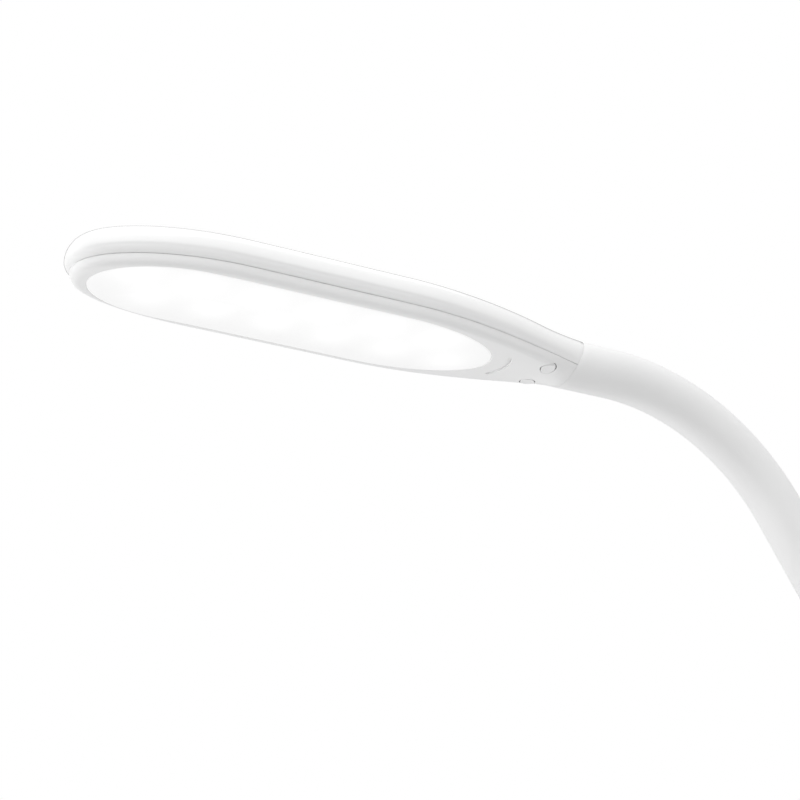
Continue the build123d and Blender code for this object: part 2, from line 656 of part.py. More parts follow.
def jaw_pad():
    """A rubber pad with blind cross grooves in its gripping face, which is at the origin and faces down."""
    width = 2 * CLIP_HALF_WIDTH - 3
    groove_pitch = 4.0
    groove = Box(1.4, width - 9, PAD_THICKNESS)
    pad = Pos(0, 0, PAD_THICKNESS / 2) * Box(PAD_LENGTH, width, PAD_THICKNESS)
    pad = fillet(pad.edges().filter_by(Axis.Z), CORNER_RADIUS - 1)
    for i in (-3, -2, -1, 1, 2, 3):
        pad -= Pos(i * groove_pitch, 0, PAD_GROOVE_DEPTH - PAD_THICKNESS / 2) * groove
    return pad


def lever_profile():
    """Side view of the lower jaw and its handle."""
    low = -BOARD_GAP - PAD_THICKNESS
    back = HANDLE_TIP_X
    return make_face([
        Line((JAW_FRONT_X, low), (JAW_FRONT_X, low - 2.5)),
        ThreePointArc((JAW_FRONT_X, low - 2.5), (-15.5, low - 6.4), (-11, low - LEVER_DEPTH)),
        Line((-11, low - LEVER_DEPTH), (40, low - 12)),
        TangentArc((40, low - 12), (back, low - 17), tangent=(51, -4)),
        ThreePointArc((back, low - 17), (back + 3.4, low - 13.6), (back + 1, low - 10.4)),
        Line((back + 1, low - 10.4), (44, low + 1)),
        Line((44, low + 1), (22, low)),
        Line((22, low), (JAW_FRONT_X, low)),
    ])


def lever_trough():
    """Side view of the room behind the lower pad, open towards the upper jaw."""
    low = -BOARD_GAP - PAD_THICKNESS
    back = HANDLE_TIP_X - 2
    return make_face(Polyline(
        (19, low + 5), (19, low - 7.6), (40, low - 9.4), (back, low - 14), (back, low + 5), close=True
    ))


def lever_hollow():
    """Side view of the closed hollow under the lower pad."""
    high = -BOARD_GAP - PAD_THICKNESS - CLIP_WALL
    front = JAW_FRONT_X + 2 * CLIP_WALL
    return make_face(Polyline(
        (front, high), (front, high - 2.6), (-9, high - 3.6), (16, high - 5.2), (16, high), close=True
    ))


def clip_lever():
    """Lower jaw and handle: a trough, open towards the upper jaw behind its pad, with two hinge ears."""
    low = -BOARD_GAP - PAD_THICKNESS
    outer = side_prism(lever_profile(), CLIP_HALF_WIDTH)
    outer = fillet(outer.edges().filter_by(Axis.Z), CORNER_RADIUS)
    body = outer - side_prism(lever_trough(), EAR_INNER_Y)
    relief_width = 20
    for side in (-1, 1):
        ear_y = side * (EAR_INNER_Y + EAR_OUTER_Y) / 2
        half = (EAR_OUTER_Y - EAR_INNER_Y) / 2
        body += side_prism(lug_profile(LUG_RADIUS - 0.8, low - 4, 9), half, ear_y)
        relief = rod_y(2 * LUG_RADIUS, HINGE_X, HINGE_Z, -relief_width / 2, relief_width / 2)
        body -= Pos(0, side * (EAR_OUTER_Y + relief_width / 2), 0) * relief
    body -= side_prism(lever_hollow(), CLIP_HALF_WIDTH - 2 * CLIP_WALL)
    pin_hole = rod_y(HINGE_PIN_RADIUS + 0.06, HINGE_X, HINGE_Z, -2 * CLIP_HALF_WIDTH, 2 * CLIP_HALF_WIDTH)
    return body - pin_hole


def lower_pad():
    return Pos(0, 0, -BOARD_GAP) * Rot(180, 0, 0) * jaw_pad()


def hinge_pin():
    """A headed pin with a groove for its snap ring."""
    head = rod_y(3.0, HINGE_X, HINGE_Z, -CLIP_HALF_WIDTH - 1.2, -CLIP_HALF_WIDTH)
    head = fillet(head.edges().sort_by(Axis.Y)[:1], 0.8)
    pin = rod_y(HINGE_PIN_RADIUS, HINGE_X, HINGE_Z, -CLIP_HALF_WIDTH - 0.1, RING_Y + 1.2)
    low, high = RING_Y - 0.4, RING_Y + 0.4
    groove = rod_y(HINGE_PIN_RADIUS + 1, HINGE_X, HINGE_Z, low, high)
    return head + pin - (groove - rod_y(RING_BORE_RADIUS - 0.05, HINGE_X, HINGE_Z, low, high))


def pin_ring():
    """Snap ring in the hinge pin's groove."""
    ring = rod_y(3.2, HINGE_X, HINGE_Z, RING_Y - 0.38, RING_Y + 0.38)
    ring -= rod_y(RING_BORE_RADIUS, HINGE_X, HINGE_Z, RING_Y - 1, RING_Y + 1)
    return ring - Pos(HINGE_X + 3, RING_Y, HINGE_Z) * Box(4.5, 2, 1.8)


def torsion_spring():
    """Coil round the hinge pin with one arm under the upper handle and one on the lower handle."""
    height = 2 * SPRING_HALF_WIDTH
    wire = Circle(SPRING_WIRE_RADIUS)
    coil_path = Helix(height / SPRING_TURNS, height, SPRING_RADIUS)
    coil = sweep(Plane(coil_path @ 0, z_dir=coil_path % 0) * wire, coil_path, is_frenet=True)
    spring = Pos(HINGE_X, SPRING_HALF_WIDTH, HINGE_Z) * Rot(90, 0, 0) * coil
    arm_end_x = 62.0
    for side, end_z in ((1, 14.4), (-1, -33.2)):
        start = Vector(HINGE_X + SPRING_RADIUS, side * SPRING_HALF_WIDTH, HINGE_Z)
        tip = Vector(arm_end_x, side * SPRING_HALF_WIDTH, end_z)
        spring += sweep(Plane(start, z_dir=tip - start) * wire, Line(start, tip))
    return spring


def neck_ferrule():
    """Threaded ferrule crimped on the gooseneck's lower end, with a flange under the sleeve."""
    top = NECK_ROOT_Z
    tube = rod_z(FERRULE_RADIUS, NECK_X, 0, top - 7.6, top)
    flange = rod_z(NECK_RADIUS - 0.4, NECK_X, 0, top, top + FERRULE_FLANGE)
    return tube + flange - rod_z(CORE_RADIUS, NECK_X, 0, top - 20, top + 5)


def neck_nut():
    top = NECK_ROOT_Z - TURRET_ROOF
    nut = Pos(NECK_X, 0, top - 3) * extrude(RegularPolygon(8.6, 6), amount=3)
    return nut - rod_z(FERRULE_RADIUS, NECK_X, 0, top - 10, top + 10)


def power_jack():
    """Barrel socket for the lamp's low-voltage supply, in the side of the turret."""
    mouth = JACK_MOUTH_Y
    back = mouth - JACK_LENGTH
    flange = rod_y(JACK_FLANGE_RADIUS, NECK_X, JACK_Z, mouth - JACK_FLANGE, mouth)
    barrel = rod_y(JACK_RADIUS, NECK_X, JACK_Z, back, mouth - JACK_FLANGE / 2)
    socket = flange + barrel - rod_y(JACK_BORE_RADIUS, NECK_X, JACK_Z, mouth - JACK_BORE_DEPTH, mouth + 1)
    tab_length = 2.2
    for side in (-1, 1):
        tab_x = NECK_X + side * WIRE_SPACING / 2
        socket += Pos(tab_x, back + 0.1 - tab_length / 2, JACK_Z) * Box(0.8, tab_length, 2.4)
    return socket - rod_y(JACK_PIN_HELD_RADIUS, NECK_X, JACK_Z, back + 0.4, mouth)


def jack_pin():
    """The socket's contact pin, thinner where it is held in the socket's back."""
    mouth = JACK_MOUTH_Y
    bottom = mouth - JACK_BORE_DEPTH
    held = rod_y(JACK_PIN_HELD_RADIUS, NECK_X, JACK_Z, mouth - JACK_LENGTH + 0.4, bottom + 0.1)
    pin = held + rod_y(JACK_PIN_RADIUS, NECK_X, JACK_Z, bottom, mouth - JACK_PIN_SUNK)
    return fillet(pin.edges().sort_by(Axis.Y)[-1:], JACK_PIN_RADIUS / 2)


def make_clip():
    for name, shape in (
        ("clip_housing", clip_housing()),
        ("base_plate", base_plate()),
        ("plate_screws", plate_screws()),
        ("upper_pad", jaw_pad()),
        ("clip_lever", clip_lever()),
        ("lower_pad", lower_pad()),
        ("hinge_pin", hinge_pin()),
        ("pin_ring", pin_ring()),
        ("torsion_spring", torsion_spring()),
        ("neck_ferrule", neck_ferrule()),
        ("neck_nut", neck_nut()),
        ("power_jack", power_jack()),
        ("jack_pin", jack_pin()),
    ):
        save(shape, name)


make_head()
make_neck()
make_clip()
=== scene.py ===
"""Looks of the clip-on reading lamp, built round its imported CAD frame.

Lengths in capitals are in millimetres, unless they say metres.
"""
import json
from math import asin, atan2, cos, hypot, pi, radians, sin, tan

import bmesh
import bpy
from mathutils import Matrix, Vector


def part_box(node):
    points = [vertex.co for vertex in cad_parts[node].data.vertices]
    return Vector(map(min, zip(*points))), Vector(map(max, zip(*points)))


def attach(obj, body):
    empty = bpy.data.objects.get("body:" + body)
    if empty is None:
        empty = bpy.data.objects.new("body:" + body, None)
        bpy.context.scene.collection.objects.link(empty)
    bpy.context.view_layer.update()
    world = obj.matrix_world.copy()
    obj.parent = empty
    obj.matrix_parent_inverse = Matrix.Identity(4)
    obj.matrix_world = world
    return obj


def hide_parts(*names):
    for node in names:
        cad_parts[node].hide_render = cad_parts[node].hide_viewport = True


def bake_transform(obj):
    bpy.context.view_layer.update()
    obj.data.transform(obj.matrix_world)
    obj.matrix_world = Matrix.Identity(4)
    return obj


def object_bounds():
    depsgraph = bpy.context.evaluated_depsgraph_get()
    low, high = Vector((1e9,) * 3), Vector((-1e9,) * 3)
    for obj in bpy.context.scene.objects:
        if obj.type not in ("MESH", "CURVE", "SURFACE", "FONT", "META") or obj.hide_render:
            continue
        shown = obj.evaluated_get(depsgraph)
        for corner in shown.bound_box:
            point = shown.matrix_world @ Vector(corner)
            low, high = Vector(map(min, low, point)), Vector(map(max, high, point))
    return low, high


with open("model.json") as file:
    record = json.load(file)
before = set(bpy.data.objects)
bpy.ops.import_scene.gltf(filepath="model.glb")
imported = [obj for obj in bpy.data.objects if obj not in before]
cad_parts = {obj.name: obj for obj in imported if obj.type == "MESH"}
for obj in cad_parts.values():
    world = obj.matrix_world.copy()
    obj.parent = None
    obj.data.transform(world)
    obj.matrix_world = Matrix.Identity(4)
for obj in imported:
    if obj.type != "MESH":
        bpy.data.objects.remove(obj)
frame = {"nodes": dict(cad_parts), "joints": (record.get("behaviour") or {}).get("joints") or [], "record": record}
cad_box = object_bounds()
MM = 0.001
MERGE_GAP = 2e-6               # metres: points nearer than this become one

# ---------------------------------------------------------------- driving dimensions: light head
HEAD_LENGTH = 190.0
HEAD_HALF_WIDTH = 25.8
NOSE_LENGTH = 53.0
NOSE_FULLNESS = 2.17           # power of the nose's outline, where an ellipse has 2
AXIS_Z = 2.8                   # the neck's axis above the parting plane
NOSE_DROOP = 1.8               # the tip turns down by this much
DROOP_LENGTH = 60.0
WAIST_START = 113.0            # the outline narrows along a cosine wave between these
WAIST_END = 254.0
SEAM_SLANT = 23.0              # degrees
WIDEST_Z = 3.4                 # the widest outline, above the parting plane
UPPER_ROUND = (6.5, 7.6)       # the side's rounding above the widest outline: across and up
LOWER_ROUND = (5.2, 4.4)       # and below it, as far as the parting plane
CROWN = 0.5                    # rise of the top from its edges to its middle
COVER_WALL = 1.5
BEZEL_WALL = 1.3
BEZEL_DEPTH = 3.8
BEZEL_INSET = 1.95             # the parting outline, inside the widest outline
BEZEL_ROUND = 3.2              # how far in the bezel's side curves before its flat floor
BEZEL_SQUARENESS = 2.5         # power of that curve, where a circle has 2
PARTING_GAP = 0.16             # from each shell's edge to the parting plane
MORPH_LENGTH = 32.0            # over which the head's section turns into the neck's circle
SEAM_SHEAR = 16.0              # over which the sections lean over to the slanted seam
SEAM_ROUND = 0.12              # rounding of the rims where the shells and the sleeve meet
SEAM_RIM = 1.25                # how far those rims reach in
WINDOW_HALF_WIDTH = 20.4
WINDOW_START = 7.7
WINDOW_END = 156.2
WINDOW_FRONT_LENGTH = 34.0     # length of the half ellipse at each end
WINDOW_BACK_LENGTH = 43.3
WINDOW_BEVEL = 0.15
DIFFUSER_DEPTH = 2.0
DIFFUSER_DOME = 0.12
BUTTON_Y = 6.6
BUTTON_RADIUS = 3.0
BUTTON_SKIRT = 0.9             # how far its side reaches up into the bezel
BUTTON_LIP = 0.12              # how far its rim stands out from the bezel's face
BUTTON_HOLE_RADIUS = 3.45
BUTTON_HOLE_BEVEL = 0.12
GROOVE_X = 163.1               # the arc's middle
GROOVE_RADIUS = 13.5
GROOVE_HALF_ANGLE = 34.0       # degrees
GROOVE_WIDTH = 1.5
GROOVE_FLOOR = 0.85            # width of its floor, as a share of its width
GROOVE_DEPTH = 0.85
LED_COLUMNS = 6
LED_PITCH = 22.3
LED_FIRST_X = 19.3
LED_ROW_Y = 7.5

# ---------------------------------------------------------------- driving dimensions: neck and spring
NECK_RADIUS = 9.0
NECK_BORE = 5.0                # radius
NECK_FOOT = 1.3                # from the neck's root to the sleeve's lower end
JOINT_PITCH = 44.0
NECK_JOINTS = 8
NECK_LENGTH = NECK_JOINTS * JOINT_PITCH
NECK_LEAD = 17.0               # the stored shape, from the head down: level, a bend, a slope, a bend, upright
HEAD_BEND = 89.0
HEAD_BEND_TURN = radians(57)
NECK_SLOPE = 45.0
ROOT_BEND = 100.0
ROOT_BEND_TURN = pi / 2 - HEAD_BEND_TURN
HEAD_ARC = HEAD_BEND * HEAD_BEND_TURN
ROOT_ARC = ROOT_BEND * ROOT_BEND_TURN
NECK_UPRIGHT = NECK_LENGTH - NECK_LEAD - HEAD_ARC - NECK_SLOPE - ROOT_ARC
NECK_RUNS = (                  # length and turn of each stretch of the neck, from its root
    (NECK_UPRIGHT, 0.0),
    (ROOT_ARC, ROOT_BEND_TURN),
    (NECK_SLOPE, 0.0),
    (HEAD_ARC, HEAD_BEND_TURN),
    (NECK_LEAD, 0.0),
)
BEND_REACH = 19.0              # a length on each side of a joint, at which the neck's axis is looked up
SPRING_WIRE = 0.9              # radius of its wire
SPRING_RADIUS = 4.2            # of its coil, to the wire's middle
SPRING_TURNS = 5

# ---------------------------------------------------------------- driving values: looks
NOISE_RANGE = (0.3, 0.7)       # nearly all of a noise texture's values lie between these
GLOW_RADIUS = 6.0              # of the bright patch under each light source
GLOW_SHIFT = -2.5              # the patches show this far towards -Y, through the panel's depth
GLOW_SPOT = 0.09               # brightness that a patch adds
GLOW_REACH = 16.0              # half of the width over which the panel's own brightness changes
GLOW_NEAR = 0.5                # that brightness at the panel's -Y and +Y sides
GLOW_FAR = 0.45

# ---------------------------------------------------------------- driving values: stage, light and camera
FLOOR_REACH = 12.0             # metres
FLOOR_CLEARANCE = 28.0         # below the lamp, for the lower jaw at its limit
DOME_LEVEL = 0.85
FRONT_FLAG = (-0.35, -0.94, 0.0)  # direction of a dark flag's middle, from the lamp
FRONT_EDGE = (0.1, 0.7)        # cosines of the angles from a flag's middle to its edge and to its core
FRONT_DARKNESS = 1.0
FLAG_TOP = 0.42                # sine of the front flag's height above the horizon
BACK_FLAG = (0.45, 0.81, 0.377)
BACK_EDGE = (0.8, 0.96)
BACK_DARKNESS = 0.6
KEY_PLACE = Vector((-0.675, -0.855, 1.035))      # softboxes: metres from the head's middle,
KEY_SIZE = (1.4, 1.0)                            # metres across
KEY_POWER = 12.0                                 # and watts
TOP_PLACE = Vector((0.1, -0.1, 0.8))
TOP_SIZE = (1.1, 0.3)
TOP_POWER = 0.8
LEFT_PLACE = Vector((-0.7, 0.7, -0.22))
LEFT_SIZE = (0.3, 0.3)
LEFT_POWER = 0.25
LEFT_SPREAD = radians(40)
VIEW_AZIMUTH = -29.07          # degrees
VIEW_ELEVATION = -22.16
VIEW_DISTANCE = 720.0          # from the tip, measured along the view
FRAME_WIDTH = 254.78           # across the picture, at the tip's distance
AIM_RIGHT = 106.09             # from the tip to the picture's middle, to the right and up
AIM_UP = -44.86

# ---------------------------------------------------------------- where things are, from the frame
cover_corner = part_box("head_cover")[0]
TIP_X = cover_corner.x
PARTING_Z = cover_corner.z
joint_at = {joint["name"]: Vector(joint["pos_m"]) for joint in frame["joints"] if "pos_m" in joint}
NECK_ROOT = joint_at["neck_sway_0"] - Vector((0, 0, JOINT_PITCH / 2 * MM))
HINGE = joint_at["jaw_hinge"]


# ---------------------------------------------------------------- mesh helpers
def smoothstep(t):
    t = min(max(t, 0.0), 1.0)
    return t * t * (3 - 2 * t)


def smooth_shading(bm, sharp_angle):
    """Smooth everywhere, except along edges sharper than the given angle."""
    for face in bm.faces:
        face.smooth = True
    for edge in bm.edges:
        edge.smooth = len(edge.link_faces) == 2 and edge.calc_face_angle(0) < radians(sharp_angle)


def finish_mesh(name, bm, sharp_angle=32, closed=True):
    """Turns a bmesh into a linked object."""
    bmesh.ops.remove_doubles(bm, verts=bm.verts, dist=MERGE_GAP)
    if closed:
        bmesh.ops.recalc_face_normals(bm, faces=bm.faces)
    smooth_shading(bm, sharp_angle)
    mesh = bpy.data.meshes.new(name)
    bm.to_mesh(mesh)
    bm.free()
    piece = bpy.data.objects.new(name, mesh)
    bpy.context.scene.collection.objects.link(piece)
    return piece


def add_grid(bm, rows, close_rows=False):
    """Quads between neighbouring rows of points. close_rows joins each row's ends, as for a tube."""
    made = [[bm.verts.new(point) for point in row] for row in rows]
    width = len(rows[0])
    for row, next_row in zip(made, made[1:]):
        for j in range(width if close_rows else width - 1):
            k = (j + 1) % width
            bm.faces.new([row[j], row[k], next_row[k], next_row[j]])
    return made


def apply_modifiers(piece, sharp_angle=32):
    """Bakes the modifiers into the mesh and sets its sharp edges again."""
    graph = bpy.context.evaluated_depsgraph_get()
    mesh = bpy.data.meshes.new_from_object(piece.evaluated_get(graph))
    piece.modifiers.clear()
    bm = bmesh.new()
    bm.from_mesh(mesh)
    bmesh.ops.remove_doubles(bm, verts=bm.verts, dist=MERGE_GAP / 2)
    bmesh.ops.recalc_face_normals(bm, faces=bm.faces)
    smooth_shading(bm, sharp_angle)
    bm.to_mesh(mesh)
    bm.free()
    piece.data = mesh


def cut(piece, tool):
    """Subtracts a closed tool from a closed piece."""
    modifier = piece.modifiers.new("cut", "BOOLEAN")
    modifier.operation = "DIFFERENCE"
    modifier.solver = "EXACT"
    modifier.object = tool
    apply_modifiers(piece)
    bpy.data.objects.remove(tool)


def give_shell(piece, thickness):
    """Gives an open outer skin a wall, inwards."""
    solidify = piece.modifiers.new("wall", "SOLIDIFY")
    solidify.thickness = thickness * MM
    solidify.offset = -1
    apply_modifiers(piece)


# ---------------------------------------------------------------- light head shapes
def head_point(x, y, z, inward=0.0):
    """From the head's own millimetres (from the tip, across, above the parting plane) to the frame.

    Towards the seam each section swells, point by point, into the neck's circle, less inward, and
    leans over with the slanted seam. At the nose everything droops a little.
    """
    along = min(max(1 - (HEAD_LENGTH - x) / MORPH_LENGTH, 0.0), 1.0)
    if along > 0:
        width = half_width(min(x, HEAD_LENGTH)) - inward
        height = NECK_RADIUS - inward
        angle = atan2((z - AXIS_Z) / height, abs(y) / width)
        across = width * cos(angle)
        share = along * along
        y += ((across if y > 0 else -across) - y) * share
        z += (AXIS_Z + height * sin(angle) - z) * share
        x += tan(radians(SEAM_SLANT)) * (z - AXIS_Z) * smoothstep(1 - (HEAD_LENGTH - x) / SEAM_SHEAR)
    droop = NOSE_DROOP * max(0.0, 1 - x / DROOP_LENGTH) ** 2
    return Vector((TIP_X + x * MM, y * MM, PARTING_Z + (z - droop) * MM))


def waist_fraction(x):
    along = max(0.0, (x - WAIST_START) / (WAIST_END - WAIST_START))
    return (1 - cos(pi * along)) / 2


def half_width(x):
    if x < NOSE_LENGTH:
        from_shoulder = 1 - x / NOSE_LENGTH
        return HEAD_HALF_WIDTH * (1 - from_shoulder ** 2) ** (1 / NOSE_FULLNESS)
    narrowing = (HEAD_HALF_WIDTH - NECK_RADIUS) / waist_fraction(HEAD_LENGTH)
    return HEAD_HALF_WIDTH - narrowing * waist_fraction(x)


def plan_stations():
    """Points down the +Y side of the widest outline, each with its inward normal."""
    nose_steps = 30
    body_steps = 70
    body = HEAD_LENGTH - NOSE_LENGTH
    xs = [NOSE_LENGTH * (1 - cos(pi / 2 * i / nose_steps)) for i in range(1, nose_steps + 1)]
    xs += [NOSE_LENGTH + body * i / body_steps for i in range(1, body_steps + 1)]
    stations = [(0.0, 0.0, 1.0, 0.0)]
    step = 0.002
    for x in xs:
        rise = half_width(x) - half_width(x - step)
        length = hypot(step, rise)
        stations.append((x, half_width(x), rise / length, -step / length))
    return stations


def shell_rows(section, cross_z, lip_rise):
    """Rows across a head shell, from one edge over its middle to the other.

    section lists (inset, z) from the edge inwards and cross_z gives the height between the last of
    them and the middle. A narrow lip turns in from each edge, lip_rise above it. The last rows round
    the rim at the seam.
    """
    cross_steps = 12
    rim = (
        (-SEAM_ROUND, 0.0),
        (-SEAM_ROUND * 0.3, SEAM_ROUND * 0.3),
        (0.0, SEAM_ROUND),
        (0.0, SEAM_RIM),
    )
    places = [(*station, 0.0, 0.0) for station in plan_stations()[:-1]]
    places += [(HEAD_LENGTH, NECK_RADIUS, 0.0, -1.0, forward, inward) for forward, inward in rim]
    rows = []
    for x, w, nx, ny, forward, inward in places:
        flat = [(x + forward + inset * nx, max(w + inset * ny, 0.0), z) for inset, z in section]
        edge_x, edge_y, edge_z = flat[-1]
        for j in range(1, cross_steps + 1):
            f = j / cross_steps
            flat.append((edge_x, edge_y * (1 - f), edge_z + cross_z(f, edge_y)))
        row = [head_point(px, -py, pz, inward) for px, py, pz in flat]
        row += [head_point(px, py, pz, inward) for px, py, pz in reversed(flat[:-1])]
        near, far = row[0], row[-1]
        for reach in (PARTING_GAP, 4 * PARTING_GAP):
            across = min(-ny * reach, flat[0][1])
            row.insert(0, near + Vector((nx * reach, across, lip_rise)) * MM)
            row.append(far + Vector((nx * reach, -across, lip_rise)) * MM)
        rows.append(row)
    return rows


def quarter(count):
    """Angles from just above 0 to a right angle."""
    return [pi / 2 * i / count for i in range(1, count + 1)]


def make_cover():
    """Top shell: rounded sides that tuck in under the widest outline, and a slightly crowned top."""
    across, up = UPPER_ROUND
    under, down = LOWER_ROUND
    low_angle = asin(WIDEST_Z / down)
    steps = 8
    section = []
    for i in range(steps + 1):
        angle = low_angle * (1 - i / steps)
        section.append((under * (1 - cos(angle)), WIDEST_Z - down * sin(angle)))
    edge_inset, edge_z = section[0]
    section[0] = (edge_inset, edge_z + PARTING_GAP)
    section += [(across * (1 - cos(a)), WIDEST_Z + up * sin(a)) for a in quarter(16)]
    widest_edge = HEAD_HALF_WIDTH - across

    def crown(f, edge_y):
        return CROWN * smoothstep(f) * edge_y / widest_edge

    bm = bmesh.new()
    add_grid(bm, list(reversed(shell_rows(section, crown, -PARTING_GAP * 2 / 3))))
    cover = finish_mesh("cover_shell", bm, closed=False)
    give_shell(cover, COVER_WALL)
    return cover


def make_bezel():
    """Lower shell: a curved side under the parting line and a flat floor, cut for what it holds."""
    power = 2 / BEZEL_SQUARENESS
    depth = BEZEL_DEPTH - PARTING_GAP
    section = [(BEZEL_INSET, -PARTING_GAP)]
    for angle in quarter(14):
        inset = BEZEL_INSET + BEZEL_ROUND * (1 - max(cos(angle), 0.0) ** power)
        section.append((inset, -PARTING_GAP - depth * sin(angle) ** power))
    bm = bmesh.new()
    add_grid(bm, shell_rows(section, lambda f, edge_y: 0.0, PARTING_GAP * 2 / 3))
    bezel = finish_mesh("bezel_shell", bm, closed=False)
    give_shell(bezel, BEZEL_WALL)
    cut(bezel, window_tool())
    for node in ("power_button", "dimmer_button"):
        cut(bezel, button_tool(node))
    cut(bezel, groove_tool())
    return bezel


def oval_ring(inset, count=168):
    """Points round the window's oval in plan, moved inwards by inset."""
    half = WINDOW_HALF_WIDTH - inset
    front = WINDOW_START + WINDOW_FRONT_LENGTH
    back = WINDOW_END - WINDOW_BACK_LENGTH
    points = []
    ring_steps = count // 3
    for i in range(ring_steps):
        angle = pi / 2 + pi * i / ring_steps
        points.append((front + (WINDOW_FRONT_LENGTH - inset) * cos(angle), half * sin(angle)))
    straight = count // 6
    for i in range(straight):
        points.append((front + (back - front) * i / straight, -half))
    for i in range(ring_steps):
        angle = -pi / 2 + pi * i / ring_steps
        points.append((back + (WINDOW_BACK_LENGTH - inset) * cos(angle), half * sin(angle)))
    for i in range(straight):
        points.append((back + (front - back) * i / straight, half))
    return points


def lofted_rings(name, rings, sharp_angle=32):
    """A closed solid from rings of points, its first and last ring filled."""
    bm = bmesh.new()
    made = add_grid(bm, rings, close_rows=True)
    bm.faces.new(made[0])
    bm.faces.new(list(reversed(made[-1])))
    return finish_mesh(name, bm, sharp_angle)


def window_tool():
    """The window's oval with a bevelled edge, wider below the bezel's face."""
    face = -BEZEL_DEPTH
    profile = (
        (-2.0, face - 4),
        (-WINDOW_BEVEL, face - 0.002),
        (0.0, face + WINDOW_BEVEL),
        (0.0, face + 5),
    )
    rings = []
    for inset, z in profile:
        rings.append([head_point(x, y, z) for x, y in oval_ring(inset)])
    return lofted_rings("window_tool", rings)


def turned(name, node, profile, count=56, sharp_angle=32):
    """A solid of revolution about a button's axis, from (radius, height above the bezel's face)."""
    low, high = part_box(node)
    x = ((low.x + high.x) / 2 - TIP_X) / MM
    side = 1 if high.y > 0 else -1
    rings = []
    for radius, height in profile:
        ring = []
        for i in range(count):
            angle = 2 * pi * i / count
            y = side * BUTTON_Y + radius * sin(angle)
            ring.append(head_point(x + radius * cos(angle), y, height - BEZEL_DEPTH))
        rings.append(ring)
    return lofted_rings(name, rings, sharp_angle)


def button_tool(node):
    """A button's hole with a bevelled edge, wider below the bezel's face."""
    radius = BUTTON_HOLE_RADIUS
    bevel = BUTTON_HOLE_BEVEL
    profile = [(radius + 2, -3), (radius + bevel, -0.003), (radius, bevel), (radius, 5)]
    return turned(f"hole_{node}", node, profile)


def make_button(node):
    """A cap with a rounded rim, a fine ring and a shallow dish."""
    edge = BUTTON_RADIUS
    profile = [(edge, BUTTON_SKIRT), (edge, 0.05), (edge - 0.06, -0.07)]
    profile += [(edge - 0.2, -BUTTON_LIP), (edge - 0.5, -BUTTON_LIP)]
    profile += [(edge - 0.62, -0.05), (edge - 0.8, -0.05)]
    profile += [(edge - 1.4, -0.02), (0.9, 0.0), (0.3, 0.01)]
    return turned(f"{node}_cap", node, profile, sharp_angle=50)


def groove_tool():
    """An arc with steep sides and round ends, bowed towards the neck."""
    centre_x = GROOVE_X - GROOVE_RADIUS
    half = GROOVE_WIDTH / 2
    floor = half * GROOVE_FLOOR
    profile = (
        (-half - 0.5, -1.0), (-half, -0.02), (-floor, GROOVE_DEPTH),
        (floor, GROOVE_DEPTH), (half, -0.02), (half + 0.5, -1.0),
    )
    steps = 40
    end_steps = 6
    rings = []
    for i in range(-end_steps, steps + end_steps + 1):
        along = min(max(i, 0), steps) / steps
        turn = (i if i < 0 else max(i - steps, 0)) / end_steps * pi / 2
        angle = radians(GROOVE_HALF_ANGLE) * (2 * along - 1) + half * sin(turn) / GROOVE_RADIUS
        narrow = max(cos(turn), 0.06)
        ring = []
        for across, height in profile:
            radius = GROOVE_RADIUS + across * narrow
            x = centre_x + radius * cos(angle)
            ring.append(head_point(x, radius * sin(angle), height - BEZEL_DEPTH))
        rings.append(ring)
    return lofted_rings("groove_tool", rings)


def make_diffuser():
    """Panel in the window: a rounded border, then a very slightly domed face."""
    face = -BEZEL_DEPTH
    top = face + DIFFUSER_DEPTH
    front = WINDOW_START + WINDOW_FRONT_LENGTH
    back = WINDOW_END - WINDOW_BACK_LENGTH
    border = [(0.12, top), (0.12, face + 0.35), (0.2, face + 0.14), (0.36, face + 0.04), (0.6, face)]
    dome_steps = 10
    rim = oval_ring(border[-1][0])

    def inner_ring(share, z):
        ring = []
        for x, y in rim:
            middle = min(max(x, front), back)
            ring.append(head_point(x + (middle - x) * share, y * (1 - share), z))
        return ring

    rings = [inner_ring(0.9, top)]
    for inset, z in border:
        rings.append([head_point(x, y, z) for x, y in oval_ring(inset)])
    for i in range(1, dome_steps):
        share = i / dome_steps
        rings.append(inner_ring(share, face - DIFFUSER_DOME * smoothstep(share * 2)))
    return lofted_rings("diffuser_panel", rings)


# ---------------------------------------------------------------- neck
def neck_place(s):
    """Where the neck's axis is at a length s from its root, and which way it runs there."""
    x, z, lean = 0.0, 0.0, 0.0
    for length, turn in NECK_RUNS:
        run = min(s, length)
        if turn:
            radius = length / turn
            next_lean = lean + run / radius
            x -= radius * (cos(lean) - cos(next_lean))
            z += radius * (sin(next_lean) - sin(lean))
            lean = next_lean
        else:
            x -= run * sin(lean)
            z += run * cos(lean)
        s -= run
    return NECK_ROOT + Vector((x, 0, z)) * MM, Vector((-sin(lean), 0, cos(lean)))


def tube_ring(s, radius, count=48):
    """A ring round the neck's axis, leaning over to the seam's slant near the head."""
    centre, along = neck_place(s)
    outward = Vector((along.z, 0, -along.x))
    shear = tan(radians(SEAM_SLANT)) * smoothstep(1 - (NECK_LENGTH - s) / SEAM_SHEAR)
    ring = []
    for i in range(count):
        angle = 2 * pi * i / count
        rise = radius * sin(angle) * MM
        point = centre + outward * rise + Vector((0, radius * cos(angle) * MM, 0))
        ring.append(point - along * shear * rise)
    return ring


